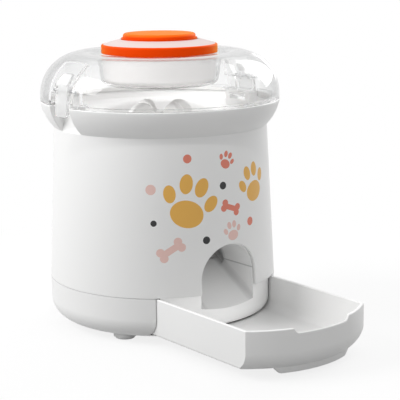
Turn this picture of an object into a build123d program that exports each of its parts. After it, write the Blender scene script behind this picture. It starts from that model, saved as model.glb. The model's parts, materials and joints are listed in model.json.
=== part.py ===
import os
from math import atan2, cos, degrees, hypot, radians, sin, sqrt, tan

from build123d import *

# Pet food dispenser with a pull-out bowl, a clear latched lid and a lift-off press button.
# Millimetres, +Z up, front towards -Y. The origin lies on the ground under the middle of
# the whole object, as it stands with its bowl pulled out.

# Casing
wall = 2.5
base_radius = 93.2
crease_radius = 87.25
rim_radius = 98.0
flare_bulge = 1.872
base_fillet = 16.5
foot_height = 5.0
seam_height = 39.0
crease_height = 163.0
rim_height = 184.0
fit_gap = 0.3
seam_chamfer = 0.35
edge_fillet = 0.6
edge_middle = 0.5

# Feet and base screws
foot_radius = 9.25
foot_front_inset = 23.0
foot_front_turn = 28.0
foot_rear_inset = 16.6
foot_rear_turn = 36.0
pad_radius = 7.8
pad_height = 1.8
pad_stem_radius = 3.0
pad_stem_height = 2.4
pad_fillet = 0.6
boss_radius = 4.5
boss_inset = 23.85
boss_turn = 16.8
boss_reach = 17.0
screw_radius = 1.5
screw_head_radius = 3.0
screw_head_height = 1.8
thread_gap = 0.06
base_screw_seat = 30.0
base_screw_reach = 9.0

# Pull-out bowl
bowl_half_width = 58.64
bowl_top = 38.6
bowl_bottom = 8.5
bowl_rear = 54.0
bowl_travel = 106.46
bowl_side_gap = 0.66
bowl_outer_corner = 2.0
bowl_inner_corner = 6.5
notch_half_floor = 24.1
notch_half_top = 27.2
notch_floor = 34.8
notch_fillet = 2.5
rim_fillet = 0.8
lip_bottom = 3.5
lip_thickness = 2.6
lip_draft = 0.8
lip_half_top = 38.1
lip_half_bottom = 32.2
lip_corner = 2.5
lip_angle_gap = 3.0
rail_x = 38.0
rail_width = 4.0
guide_thickness = 2.0
guide_height = 26.0
guide_front = -54.0
guide_rear = 50.0
tongue_height = 3.5
tongue_wall = 2.0

# Doorway and food chute
door_half = 26.9
door_spring = 50.4
skin_lift = 0.5
nose_gap = 0.5
nose_wall = 2.2
nose_half = 55.6
nose_bottom = 11.5
nose_corner = 8.0
nose_rear = -58.0
chute_half = 26.0
chute_wall = 2.2
chute_corner = 4.5
chute_seam = 53.5
chute_end = -49.5
ramp_angle = 29.5
ramp_point = (-49.5, 49.2)
duct_half = 31.0
duct_rear = -16.0

# Hopper, portion wheel and drive
funnel_top_height = 174.0
funnel_top_radius = 92.4
mouth_height = 144.0
mouth_radius = 41.0
neck_height = 5.0
collar_fillet = 0.8
spigot_bottom = 155.0
spigot_wall = 2.2
flange_radius = 50.0
flange_height = 2.5
flange_screw_circle = 46.8
flange_screw_turns = (45, 135, 225, 315)
cover_thickness = 1.6
housing_floor = 108.0
housing_floor_thickness = 2.5
wheel_gap = 0.5
wheel_lift = 0.4
wheel_vanes = 6
vane_thickness = 3.0
wheel_hub_radius = 10.0
outlet_half = 24.0
outlet_inner = 16.0
shaft_radius = 4.0
shaft_gap = 0.06
shaft_bottom = 99.0
shaft_top = 166.0
bush_radius = 6.5
agitator_hub_radius = 9.0
agitator_hub_top = 172.0
lobe_count = 4
lobe_centre = 19.0
lobe_radius = 13.0
lobe_height = 168.0
lobe_thickness = 7.0
lobe_fillet = 2.4
gearbox_radius = 18.5
gearbox_offset = 7.0
gearbox_height = 22.0
motor_radius = 12.2
motor_height = 28.0
motor_cap_radius = 5.0
motor_cap_height = 2.0
gearbox_screw_circle = 15.0
gearbox_screw_turns = (90, 210, 330)

# Batteries
cell_radius = 7.2
cell_height = 49.2
nub_radius = 2.7
nub_height = 1.2
cell_pitch = 16.2
cell_count = 4
battery_floor = 51.0
contact_thickness = 0.5
leaf_height = 3.0
leaf_width = 6.0
leaf_half = 5.4
box_wall = 2.0
box_front_gap = 0.8
box_side_gap = 1.2
box_flange = 5.0
cover_lap = 3.0
cover_corner = 6.0
cover_gap = 0.3
cover_grip_radius = 9.0
cover_grip_depth = 1.2

# Receiver board and power button
board_size = (46.0, 28.0)
board_thickness = 1.6
board_y = 74.0
board_z = 127.0
board_post_x = 18.0
board_post_radius = 3.0
board_screw_radius = 1.0
board_head_radius = 1.9
board_head_height = 1.2
board_screw_depth = 6.0
button_z = 127.0
button_radius = 6.2
button_flange_radius = 7.6
button_flange_height = 1.4
button_stand = 0.7
button_travel = 1.2
button_stem_radius = 1.7
tact_size = 6.2
tact_height = 3.6
chip_size = (11.0, 11.0, 1.6)

# Clear lid
lid_wall = 2.0
well_wall = 1.6
mouth_wall = 1.85
lid_setback = 0.5
dome_radius = 34.5
dome_straight = 4.0
mouth_rise = 8.0
well_top_radius = 48.0
well_bottom_radius = 46.6
well_floor = 197.1
well_corner = 4.4
skirt_gap = 1.06
skirt_wall = 1.8
skirt_depth = 5.0
seal_clearance = 0.45
seal_height = 2.8
seal_drop = 0.3

# Latches
notch_half = 13.75
notch_depth = 14.5
notch_slope_top = 172.5
notch_toe = 1.05
notch_wall = 2.0
slot_half = 10.3
slot_bottom = 175.9
slot_top = 180.9
pocket_half = 15.0
pocket_depth = 10.6
pocket_ledge = 199.0
ledge_depth = 14.1
pocket_lean = 0.2176
pocket_wall = 2.0
shelf_depth = 18.0
skirt_cut = 17.5
pivot_depth = 6.8
pivot_z = 196.5
pin_radius = 1.25
pin_gap = 0.05
pin_half = 16.8
lever_thickness = 2.2
lever_bottom_depth = 2.2
lever_bottom_z = 176.2
lever_knee_depth = 3.7
lever_knee_z = 201.5
lever_top_depth = 10.1
lever_top_z = 209.4
lever_half_bottom = 8.0
lever_half_knee = 9.1
lever_half_top = 6.4
lever_corner = 2.0
ear_radius = 3.0
ear_outer = 8.4
ear_inner = 6.2
tongue_bottom = 178.8
tongue_thickness = 1.8
tongue_half = 7.6
tongue_tip_depth = 17.7

# Press button that is stored in the lid's well
button_wall = 2.0
puck_bottom_radius = 45.4
puck_top_radius = 46.8
puck_base_height = 4.4
puck_base_corner = 4.2
puck_top = 221.0
ring_top = 228.1
ring_radius = 47.3
ring_inner = 44.4
ring_fillet = 1.6
bezel_top = 232.1
bezel_inner = 31.4
bezel_skirt_wall = 2.0
bezel_skirt_bottom = 216.0
recess_depth = 3.5
spring_cup_radius = 11.0
spring_cup_floor = 220.0
pad_flange_radius = 30.8
pad_flange_bottom = 231.6
pad_flange_top = 233.0
press_radius = 29.5
press_top = 236.6
press_fillet = 2.2
press_travel = 2.5
press_stem_radius = 5.0
spring_radius = 8.2
spring_wire = 0.6
wire_sides = 6
spring_pitch = 2.6
puck_board_radius = 42.0
puck_board_height = 206.0
puck_shelf_width = 5.0
puck_shelf_height = 1.5
coin_radius = 10.0
coin_height = 3.2
coin_place = (16.0, -14.0)
switch_size = 12.0
switch_height = 4.0

# Worked-out sizes
axis_y = (bowl_travel + base_radius - rim_radius) / 2
gap_half = bowl_half_width + bowl_side_gap
half_wall = wall / 2
nose_inset = wall + nose_gap
bowl_floor = bowl_bottom + wall
half_chord = hypot(rim_radius - crease_radius, rim_height - crease_height) / 2
flare_radius = (half_chord**2 + flare_bulge**2) / (2 * flare_bulge)
chord_reach = (flare_radius - flare_bulge) / (2 * half_chord)
flare_middle = (crease_height + rim_height) / 2
flare_centre_x = (crease_radius + rim_radius) / 2 - chord_reach * (rim_height - crease_height)
flare_centre_z = flare_middle + chord_reach * (rim_radius - crease_radius)
neck_bottom = mouth_height - neck_height
housing_top = neck_bottom
foot_circle = (
    (base_radius - foot_front_inset, -foot_front_turn), (base_radius - foot_rear_inset, foot_rear_turn),
)
foot_places = [
    (side * reach * cos(radians(turn)), reach * sin(radians(turn)))
    for reach, turn in foot_circle for side in (-1, 1)
]
boss_circle = base_radius - boss_inset
boss_turns = (boss_turn, 180 - boss_turn, 180 + boss_turn, 360 - boss_turn)
boss_places = [(boss_circle * cos(radians(turn)), boss_circle * sin(radians(turn))) for turn in boss_turns]
cell_places = [(i - (cell_count - 1) / 2) * cell_pitch for i in range(cell_count)]
battery_room = 2 * contact_thickness + leaf_height + cell_height + nub_height
box_half = cell_places[-1] + cell_radius + box_side_gap
rim_half = box_half - cover_gap
box_bottom = battery_floor - box_wall
box_top = battery_floor + battery_room + box_wall
cover_half = box_half + box_wall + cover_gap
cover_bottom = box_bottom - cover_gap
cover_top = box_top + cover_gap

ground = Plane(origin=(0, axis_y, 0))
section = Plane(origin=(0, axis_y, 0), x_dir=(1, 0, 0), z_dir=(0, -1, 0))
side_view = Plane(origin=(0, axis_y, 0), x_dir=(0, 1, 0), z_dir=(1, 0, 0))
body_axis = Axis((0, axis_y, 0), (0, 0, 1))
bowl_section = section.offset(bowl_travel)
bowl_axis = Axis((0, axis_y - bowl_travel, 0), (0, 0, 1))

os.makedirs("parts", exist_ok=True)


def level(height):
    """Horizontal plane at a height above the ground, centred on the body's axis."""
    return ground.offset(height)


def front_plane(y):
    """Upright plane that looks forwards, with local x as X and local y as height."""
    return section.offset(-y)


def body_radius(height):
    """Outside radius of the tapered body at a height."""
    rise = (height - seam_height) / (crease_height - seam_height)
    return base_radius + (crease_radius - base_radius) * rise


def flare_at(height, inset=0):
    """Radius of the collar's flared side at a height, moved in by an inset."""
    reach = flare_radius - inset
    return flare_centre_x + sqrt(reach**2 - (height - flare_centre_z) ** 2)


def ramp_at(y):
    """Height of the chute's ramp at a depth."""
    return ramp_point[1] + (y - ramp_point[0]) * tan(radians(ramp_angle))


def polygon(*points, mode=Mode.ADD):
    """Filled outline through points, in the sketch's own plane."""
    Polygon(*points, align=None, mode=mode)


def ring(bottom, top, outer, inner=0.0, mode=Mode.ADD):
    """Upright disc or ring about the body's axis, between two heights."""
    with BuildSketch(level(bottom)) as outline:
        Circle(outer)
        if inner:
            Circle(inner, mode=Mode.SUBTRACT)
    extrude(outline.sketch, amount=top - bottom, mode=mode)


def posts(bottom, top, radius, places, mode=Mode.ADD):
    """Upright round posts, or holes, at places beside the body's axis."""
    with BuildSketch(level(bottom)) as outline:
        with Locations(*places):
            Circle(radius)
    extrude(outline.sketch, amount=top - bottom, mode=mode)


def block(x_span, y_span, z_span, mode=Mode.ADD):
    """Box between two values on each axis, counted from the body's axis."""
    with BuildSketch(level(z_span[0])) as outline:
        with Locations((sum(x_span) / 2, sum(y_span) / 2)):
            Rectangle(x_span[1] - x_span[0], y_span[1] - y_span[0])
    extrude(outline.sketch, amount=z_span[1] - z_span[0], mode=mode)


def casing_outline(inset, top, mode=Mode.ADD):
    """Half section inside the rounded base and the tapered body, moved in by an inset."""
    centre = (base_radius - base_fillet, foot_height + base_fillet)
    bottom = foot_height + inset
    with BuildLine() as outline:
        Line((0, bottom), (centre[0], bottom))
        corner = CenterArc(centre, base_fillet - inset, -90, 90)
        if top > seam_height:
            shoulder = Line(corner @ 1, (base_radius - inset, seam_height))
            Polyline(shoulder @ 1, (body_radius(top) - inset, top), (0, top), (0, bottom))
        else:
            Polyline(corner @ 1, (base_radius - inset, top), (0, top), (0, bottom))
    make_face(outline.edges(), mode=mode)


def arch(half, spring, bottom, mode=Mode.ADD):
    """Doorway outline: straight sides up to the springing, and a round top."""
    with BuildLine() as outline:
        Polyline((-half, spring), (-half, bottom), (half, bottom), (half, spring))
        ThreePointArc((half, spring), (0, spring + half), (-half, spring))
    make_face(outline.edges(), mode=mode)


def in_bowl_notch(edge):
    """Whether an edge belongs to the low place in the bowl's front wall."""
    middle = edge.center()
    front = middle.Y < axis_y - bowl_travel - base_radius + base_fillet
    return front and abs(middle.X) < notch_half_top + edge_fillet and middle.Z > notch_floor - edge_fillet


def on_doorway(edge):
    """Whether an edge belongs to the doorway in the outside of the body."""
    point = edge @ edge_middle
    outside = hypot(point.X, point.Y - axis_y) > body_radius(point.Z) - half_wall
    above = edge.bounding_box().min.Z > seam_height + skin_lift - fit_gap
    return above and outside and point.Y < axis_y - base_fillet and abs(point.X) < door_half + edge_fillet


def on_latch_recess(edge):
    """Whether an edge is a long curved one at the side of a recess for a latch."""
    offset = abs(edge.center().Y - axis_y)
    at_side = min(abs(offset - notch_half), abs(offset - pocket_half)) < thread_gap
    return at_side and edge.geom_type == GeomType.BSPLINE and edge.length > notch_half


def front_wedge(half_angle, mode=Mode.INTERSECT):
    """Sector that opens towards the front."""
    reach = 2 * base_radius
    spread = reach * tan(radians(half_angle))
    polygon((0, 0), (spread, -reach), (-spread, -reach), mode=mode)


# Base shell: rounded cup with a gap for the bowl, guides, screw bosses and four foot stubs
lip_radius = base_radius - base_fillet
lip_radius += sqrt(base_fillet**2 - (foot_height + base_fillet - bowl_bottom) ** 2)
lip_inner = lip_radius - lip_draft - lip_thickness
lip_angle = degrees(lip_half_top / lip_radius) + lip_angle_gap

with BuildPart() as base_shell:
    with BuildSketch(section):
        casing_outline(0, seam_height)
        casing_outline(wall, seam_height, mode=Mode.SUBTRACT)
        polygon(
            (base_radius, seam_height - seam_chamfer), (base_radius + wall, seam_height - seam_chamfer),
            (base_radius + wall, seam_height), (base_radius - seam_chamfer, seam_height), mode=Mode.SUBTRACT,
        )
    revolve(axis=body_axis)
    # Locating tongue that reaches up inside the body
    tongue_outer = body_radius(seam_height + tongue_height) - wall - fit_gap
    ring(seam_height - tongue_height, seam_height, base_radius - half_wall, tongue_outer - tongue_wall)
    ring(seam_height, seam_height + tongue_height, tongue_outer, tongue_outer - tongue_wall)
    # Foot stubs, screw bosses, runner rails and side guides
    posts(pad_height, bowl_bottom - fit_gap, foot_radius, foot_places)
    posts(foot_height + half_wall, seam_height, boss_radius, boss_places)
    for side in (-1, 1):
        rail = sorted((side * rail_x, side * (rail_x + rail_width)))
        guide = sorted((side * gap_half, side * (gap_half + guide_thickness)))
        block(rail, (guide_front, guide_rear), (foot_height + half_wall, bowl_bottom - fit_gap))
        block(guide, (guide_front, guide_rear), (foot_height + half_wall, guide_height))
    # Gap for the bowl's front, and the cut-back under its lip
    block(
        (-gap_half, gap_half), (-base_radius - wall, guide_front),
        (bowl_bottom - fit_gap, seam_height + 2 * tongue_height), mode=Mode.SUBTRACT,
    )
    with BuildSketch(level(0)):
        Circle(base_radius + wall)
        Circle(lip_inner - nose_gap, mode=Mode.SUBTRACT)
        front_wedge(lip_angle)
    extrude(amount=seam_height, mode=Mode.SUBTRACT)
    # Holes for the screws and for the foot pads' stems
    posts(0, base_screw_seat, screw_head_radius + fit_gap, boss_places, mode=Mode.SUBTRACT)
    posts(0, seam_height, screw_radius + thread_gap, boss_places, mode=Mode.SUBTRACT)
    posts(0, pad_height + pad_stem_height, pad_stem_radius + thread_gap, foot_places, mode=Mode.SUBTRACT)
base_shell.part.label = "base_shell"
export_step(base_shell.part, "parts/base_shell.step")

# Foot pads
foot_names = ("front_left", "front_right", "rear_left", "rear_right")
for foot_name, place in zip(foot_names, foot_places):
    with BuildPart() as foot_pad:
        posts(0, pad_height, pad_radius, [place])
        fillet(foot_pad.edges().group_by(Axis.Z)[0], radius=pad_fillet)
        posts(pad_height, pad_height + pad_stem_height, pad_stem_radius, [place])
    foot_pad.part.label = f"foot_pad_{foot_name}"
    export_step(foot_pad.part, f"parts/foot_pad_{foot_name}.step")

# Base screws, driven up through the base's bosses into the body's
base_screw_top = seam_height + base_screw_reach
with BuildPart() as base_screws:
    posts(base_screw_seat - screw_head_height, base_screw_seat, screw_head_radius, boss_places)
    posts(base_screw_seat, base_screw_top, screw_radius, boss_places)
base_screws.part.label = "base_screws"
export_step(base_screws.part, "parts/base_screws.step")

# Body shell: tapered wall with the doorway, the battery opening and the button's hole
post_reach = board_y + board_thickness
with BuildPart() as body_shell:
    # Bosses for the base screws and posts for the board, trimmed to the shell's outside
    posts(seam_height, seam_height + boss_reach, boss_radius, boss_places)
    rib_bottom = seam_height + tongue_height + fit_gap
    with BuildSketch(level(rib_bottom)):
        for x, y in boss_places:
            turn = degrees(atan2(y, x))
            with Locations(Location((x, y, 0), (0, 0, turn))):
                Rectangle(base_radius, wall, align=(Align.MIN, Align.CENTER))
    extrude(amount=boss_reach - tongue_height - fit_gap)
    with BuildSketch(front_plane(post_reach)):
        with Locations((-board_post_x, board_z), (board_post_x, board_z)):
            Circle(board_post_radius)
    extrude(amount=-(base_radius - post_reach))
    with BuildSketch(section):
        polygon(
            (0, seam_height), (base_radius - half_wall, seam_height),
            (crease_radius - half_wall, crease_height), (0, crease_height),
        )
    revolve(axis=body_axis, mode=Mode.INTERSECT)
    with BuildSketch(section):
        polygon(
            (base_radius - wall, seam_height), (base_radius - seam_chamfer, seam_height),
            (body_radius(seam_height + seam_chamfer), seam_height + seam_chamfer),
            (crease_radius, crease_height), (crease_radius - wall, crease_height),
        )
    revolve(axis=body_axis)
    # Doorway and the lifted edge over the bowl
    with BuildSketch(front_plane(0)):
        arch(door_half, door_spring, 0)
    extrude(amount=2 * base_radius, mode=Mode.SUBTRACT)
    block(
        (-gap_half, gap_half), (-base_radius - wall, -gap_half),
        (seam_height - wall, seam_height + skin_lift), mode=Mode.SUBTRACT,
    )
    # Battery opening, button hole and screw holes
    with BuildSketch(front_plane(0)):
        with Locations((0, (cover_bottom + cover_top) / 2)):
            RectangleRounded(
                2 * (cover_half + cover_gap), cover_top - cover_bottom + 2 * cover_gap, cover_corner,
            )
        with Locations((0, button_z)):
            Circle(button_radius + fit_gap)
    extrude(amount=-2 * base_radius, mode=Mode.SUBTRACT)
    posts(0, base_screw_top, screw_radius + thread_gap, boss_places, mode=Mode.SUBTRACT)
    with BuildSketch(front_plane(post_reach)):
        with Locations((-board_post_x, board_z), (board_post_x, board_z)):
            Circle(board_screw_radius + thread_gap)
    extrude(amount=-board_screw_depth, mode=Mode.SUBTRACT)
    fillet(body_shell.edges().filter_by(on_doorway), radius=edge_fillet)
body_shell.part.label = "body_shell"
export_step(body_shell.part, "parts/body_shell.step")

# Pull-out bowl: the base's own front, with straight sides, a floor and a finger lip
with BuildPart() as bowl_cavity:
    with BuildSketch(bowl_section):
        casing_outline(wall, bowl_top + wall)
    revolve(axis=bowl_axis)
    with BuildSketch(bowl_section.offset(-bowl_rear - wall)):
        polygon(
            (-bowl_half_width + wall, bowl_floor), (bowl_half_width - wall, bowl_floor),
            (bowl_half_width - wall, bowl_top + wall), (-bowl_half_width + wall, bowl_top + wall),
        )
        fillet(vertices().group_by(Axis.Y)[0], radius=bowl_inner_corner)
    extrude(amount=bowl_rear + 2 * wall + base_radius, mode=Mode.INTERSECT)

with BuildPart() as finger_lip:
    with BuildSketch(bowl_section):
        polygon(
            (lip_inner, lip_bottom), (lip_radius - lip_draft, lip_bottom), (lip_radius, bowl_bottom),
            (lip_radius, bowl_bottom + half_wall), (lip_inner, bowl_bottom + half_wall),
        )
    revolve(axis=bowl_axis)
    with BuildSketch(bowl_section.offset(bowl_half_width)):
        polygon(
            (-lip_half_bottom, lip_bottom), (lip_half_bottom, lip_bottom),
            (lip_half_top, bowl_bottom + half_wall), (-lip_half_top, bowl_bottom + half_wall),
        )
        fillet(vertices().group_by(Axis.Y)[0], radius=lip_corner)
    extrude(amount=base_radius, mode=Mode.INTERSECT)

with BuildPart() as bowl:
    with BuildSketch(bowl_section):
        casing_outline(0, bowl_top)
    revolve(axis=bowl_axis)
    with BuildSketch(bowl_section.offset(-bowl_rear)):
        polygon(
            (-bowl_half_width, bowl_bottom), (bowl_half_width, bowl_bottom),
            (bowl_half_width, bowl_top), (-bowl_half_width, bowl_top),
        )
        fillet(vertices().group_by(Axis.Y)[0], radius=bowl_outer_corner)
    extrude(amount=bowl_rear + base_radius + wall, mode=Mode.INTERSECT)
    add(bowl_cavity.part, mode=Mode.SUBTRACT)
    # Low place in the front edge, under the doorway when the bowl is closed
    notch_slope = (notch_half_top - notch_half_floor) / (bowl_top - notch_floor)
    notch_reach = notch_half_top + notch_slope * wall
    with BuildSketch(bowl_section.offset(bowl_half_width)):
        polygon(
            (-notch_half_floor, notch_floor), (notch_half_floor, notch_floor),
            (notch_reach, bowl_top + wall), (-notch_reach, bowl_top + wall),
        )
        fillet(vertices().group_by(Axis.Y)[0], radius=notch_fillet)
    extrude(amount=base_radius, mode=Mode.SUBTRACT)
    add(finger_lip.part)
    # Rounded rim and notch, and a rounded lower edge of the lip
    notch_edges = bowl.edges().filter_by(in_bowl_notch)
    fillet(bowl.edges().group_by(Axis.Z)[-1] + notch_edges, radius=rim_fillet)
    fillet(bowl.edges().group_by(Axis.Z)[0], radius=edge_fillet)
bowl.part.label = "bowl"
export_step(bowl.part, "parts/bowl.step")

# Lower chute: the nose behind the doorway, with side walls and the ramp that feeds the bowl
ramp_drop = chute_wall / cos(radians(ramp_angle))
ramp_half = duct_half - fit_gap
ramp_end = duct_rear - fit_gap
wide_start = chute_end - chute_wall
under_seam = ramp_point[0] + (chute_seam + ramp_drop - ramp_point[1]) / tan(radians(ramp_angle))
ramp_foot = -base_radius - wall
ramp_start = Plane(
    origin=(0, axis_y + ramp_foot, ramp_at(ramp_foot)), x_dir=(-1, 0, 0),
    z_dir=(0, cos(radians(ramp_angle)), sin(radians(ramp_angle))),
)

with BuildPart() as chute_passage:
    with BuildSketch(ramp_start):
        polygon(
            (-chute_half, 0), (chute_half, 0), (chute_half, base_radius), (-chute_half, base_radius),
        )
        fillet(vertices().group_by(Axis.Y)[0], radius=chute_corner)
    extrude(amount=base_radius)
    block((-base_radius, base_radius), (ramp_foot, chute_end), (0, crease_height), mode=Mode.INTERSECT)
    with BuildSketch(side_view):
        polygon(
            (chute_end, ramp_at(chute_end)), (0, ramp_at(0)),
            (0, crease_height), (chute_end, crease_height),
        )
    extrude(amount=ramp_half, both=True)

with BuildPart() as nose:
    with BuildSketch(section):
        casing_outline(nose_inset, chute_seam)
        casing_outline(nose_inset + nose_wall, chute_seam, mode=Mode.SUBTRACT)
    revolve(axis=body_axis)
    with BuildSketch(front_plane(nose_rear)):
        polygon(
            (-nose_half, nose_bottom), (nose_half, nose_bottom),
            (nose_half, chute_seam), (-nose_half, chute_seam),
        )
        fillet(vertices().group_by(Axis.Y)[0], radius=nose_corner)
    extrude(amount=base_radius, mode=Mode.INTERSECT)

with BuildPart() as chute_base:
    # Narrow channel, then the wider one under the duct, then the ramp's end inside the duct
    with BuildSketch(side_view):
        polygon(
            (ramp_foot, ramp_at(ramp_foot) - ramp_drop), (chute_end, ramp_at(chute_end) - ramp_drop),
            (chute_end, chute_seam), (ramp_foot, chute_seam),
        )
    extrude(amount=chute_half + chute_wall, both=True)
    with BuildSketch(side_view):
        polygon(
            (wide_start, ramp_at(wide_start) - ramp_drop), (under_seam, chute_seam), (wide_start, chute_seam),
        )
    extrude(amount=ramp_half + chute_wall, both=True)
    with BuildSketch(side_view):
        polygon(
            (wide_start, ramp_at(wide_start) - ramp_drop), (ramp_end, ramp_at(ramp_end) - ramp_drop),
            (ramp_end, ramp_at(ramp_end)), (wide_start, ramp_at(wide_start)),
        )
    extrude(amount=ramp_half, both=True)
    with BuildSketch(section):
        casing_outline(nose_inset, crease_height)
    revolve(axis=body_axis, mode=Mode.INTERSECT)
    add(nose.part)
    add(chute_passage.part, mode=Mode.SUBTRACT)
chute_base.part.label = "chute_base"
export_step(chute_base.part, "parts/chute_base.step")

# Upper chute: round-topped tunnel to the doorway, and the upright duct under the portion wheel
with BuildPart() as chute_hood:
    with BuildSketch(front_plane(chute_end)):
        arch(chute_half + chute_wall, door_spring, 0)
    extrude(amount=base_radius)
    with BuildSketch(section):
        casing_outline(nose_inset, crease_height)
    revolve(axis=body_axis, mode=Mode.INTERSECT)
    block(
        (-duct_half - chute_wall, duct_half + chute_wall), (wide_start, duct_rear + chute_wall),
        (chute_seam, housing_floor),
    )
    with BuildSketch(front_plane(chute_end)):
        arch(chute_half, door_spring, 0)
    extrude(amount=base_radius, mode=Mode.SUBTRACT)
    block((-duct_half, duct_half), (chute_end, duct_rear), (0, housing_floor), mode=Mode.SUBTRACT)
    block((-base_radius, base_radius), (-base_radius, 0), (0, chute_seam), mode=Mode.SUBTRACT)
chute_hood.part.label = "chute_hood"
export_step(chute_hood.part, "parts/chute_hood.step")

# Hopper bowl: flared collar, funnel, locating spigot, latch recesses and the wheel's half cover
funnel_slope = (funnel_top_height - mouth_height) / (funnel_top_radius - mouth_radius)
funnel_drop = wall * hypot(1, funnel_slope)
notch_back = rim_radius - notch_depth
notch_foot = crease_radius - notch_toe
spigot_outer = crease_radius - wall - fit_gap
spigot_top = mouth_height + (spigot_outer - mouth_radius) * funnel_slope - funnel_drop / 2
lip_slope = mouth_height + wall * funnel_slope - funnel_drop
side_sections = [
    Plane(origin=(0, axis_y, 0), x_dir=(side, 0, 0), z_dir=(0, -side, 0)) for side in (-1, 1)
]
flange_screws = [
    (flange_screw_circle * cos(radians(turn)), flange_screw_circle * sin(radians(turn)))
    for turn in flange_screw_turns
]

with BuildPart() as hopper_bowl:
    with BuildSketch(section):
        with BuildLine():
            outside = ThreePointArc(
                (crease_radius, crease_height), (flare_at(flare_middle), flare_middle),
                (rim_radius, rim_height),
            )
            inside = ThreePointArc(
                (flare_at(rim_height, wall), rim_height), (flare_at(flare_middle, wall), flare_middle),
                (flare_at(crease_height, wall), crease_height),
            )
            Line(outside @ 1, inside @ 0)
            Line(inside @ 1, outside @ 0)
        make_face()
        polygon(
            (funnel_top_radius, funnel_top_height), (mouth_radius, mouth_height),
            (mouth_radius, neck_bottom), (mouth_radius + wall, neck_bottom),
            (mouth_radius + wall, lip_slope),
            (funnel_top_radius, funnel_top_height - funnel_drop),
        )
        polygon(
            (mouth_radius, neck_bottom), (flange_radius, neck_bottom),
            (flange_radius, neck_bottom + flange_height), (mouth_radius, neck_bottom + flange_height),
        )
        polygon(
            (spigot_outer - spigot_wall, spigot_bottom), (spigot_outer, spigot_bottom),
            (spigot_outer, spigot_top), (spigot_outer - spigot_wall, spigot_top),
        )
    revolve(axis=body_axis)
    # Walled recesses for the latches, trimmed to the collar's flare
    for plane in side_sections:
        with BuildSketch(plane):
            polygon(
                (notch_back - notch_wall, rim_height), (notch_back - notch_wall, notch_slope_top),
                (notch_foot - notch_wall, crease_height), (rim_radius, crease_height),
                (rim_radius, rim_height),
            )
        extrude(amount=notch_half + notch_wall, both=True)
    with BuildSketch(section):
        with BuildLine():
            flare = ThreePointArc(
                (crease_radius, crease_height), (flare_at(flare_middle), flare_middle),
                (rim_radius, rim_height),
            )
            Polyline(flare @ 1, (0, rim_height), (0, 0), (crease_radius, 0), flare @ 0)
        make_face()
        fillet(vertices().group_by(Axis.X)[-1], radius=collar_fillet)
    revolve(axis=body_axis, mode=Mode.INTERSECT)
    for plane in side_sections:
        with BuildSketch(plane):
            polygon(
                (notch_back, rim_height + wall), (notch_back, notch_slope_top), (notch_foot, crease_height),
                (rim_radius + wall, crease_height), (rim_radius + wall, rim_height + wall),
            )
        extrude(amount=notch_half, both=True, mode=Mode.SUBTRACT)
        with BuildSketch(plane):
            polygon(
                (notch_back - 2 * notch_wall, slot_bottom), (notch_back + wall, slot_bottom),
                (notch_back + wall, slot_top), (notch_back - 2 * notch_wall, slot_top),
            )
        extrude(amount=slot_half, both=True, mode=Mode.SUBTRACT)
    # Half cover over the outlet, so that only full pockets pass it
    with BuildSketch(level(neck_bottom)):
        Circle(mouth_radius + half_wall)
        Circle(wheel_hub_radius, mode=Mode.SUBTRACT)
        with Locations((0, -vane_thickness)):
            Rectangle(2 * base_radius, base_radius, align=(Align.CENTER, Align.MAX), mode=Mode.INTERSECT)
    extrude(amount=cover_thickness)
    posts(0, neck_bottom + flange_height, screw_radius + thread_gap, flange_screws, mode=Mode.SUBTRACT)
    fillet(hopper_bowl.edges().filter_by(on_latch_recess), radius=edge_fillet)
hopper_bowl.part.label = "hopper_bowl"
export_step(hopper_bowl.part, "parts/hopper_bowl.step")

# Portion housing: round well for the wheel, with its outlet over the duct
floor_top = housing_floor + housing_floor_thickness
gearbox_centre = (0, gearbox_offset)
gearbox_screw_places = [
    (gearbox_screw_circle * cos(radians(turn)), gearbox_offset + gearbox_screw_circle * sin(radians(turn)))
    for turn in gearbox_screw_turns
]
screw_recess = floor_top - screw_head_height

with BuildPart() as portion_housing:
    ring(housing_floor, housing_top, mouth_radius + wall)
    ring(housing_top - flange_height, housing_top, flange_radius)
    ring(floor_top, housing_top, mouth_radius, mode=Mode.SUBTRACT)
    with BuildSketch(level(housing_floor)):
        Circle(mouth_radius - wheel_gap)
        with Locations((0, -outlet_inner)):
            Rectangle(2 * outlet_half, base_radius, align=(Align.CENTER, Align.MAX), mode=Mode.INTERSECT)
    extrude(amount=housing_floor_thickness, mode=Mode.SUBTRACT)
    ring(housing_floor, floor_top, bush_radius, mode=Mode.SUBTRACT)
    posts(housing_floor, floor_top, screw_radius + thread_gap, gearbox_screw_places, mode=Mode.SUBTRACT)
    posts(
        screw_recess, floor_top, screw_head_radius + thread_gap, gearbox_screw_places, mode=Mode.SUBTRACT,
    )
    posts(housing_floor, housing_top, screw_radius + thread_gap, flange_screws, mode=Mode.SUBTRACT)
portion_housing.part.label = "portion_housing"
export_step(portion_housing.part, "parts/portion_housing.step")

# Screws that hang the housing under the hopper
with BuildPart() as housing_screws:
    flange_bottom = housing_top - flange_height
    posts(flange_bottom - screw_head_height, flange_bottom, screw_head_radius, flange_screws)
    posts(flange_bottom, neck_bottom + flange_height, screw_radius, flange_screws)
housing_screws.part.label = "housing_screws"
export_step(housing_screws.part, "parts/housing_screws.step")

# Bush in the housing's floor
with BuildPart() as shaft_bush:
    ring(housing_floor, floor_top, bush_radius, shaft_radius + shaft_gap)
shaft_bush.part.label = "shaft_bush"
export_step(shaft_bush.part, "parts/shaft_bush.step")

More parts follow.
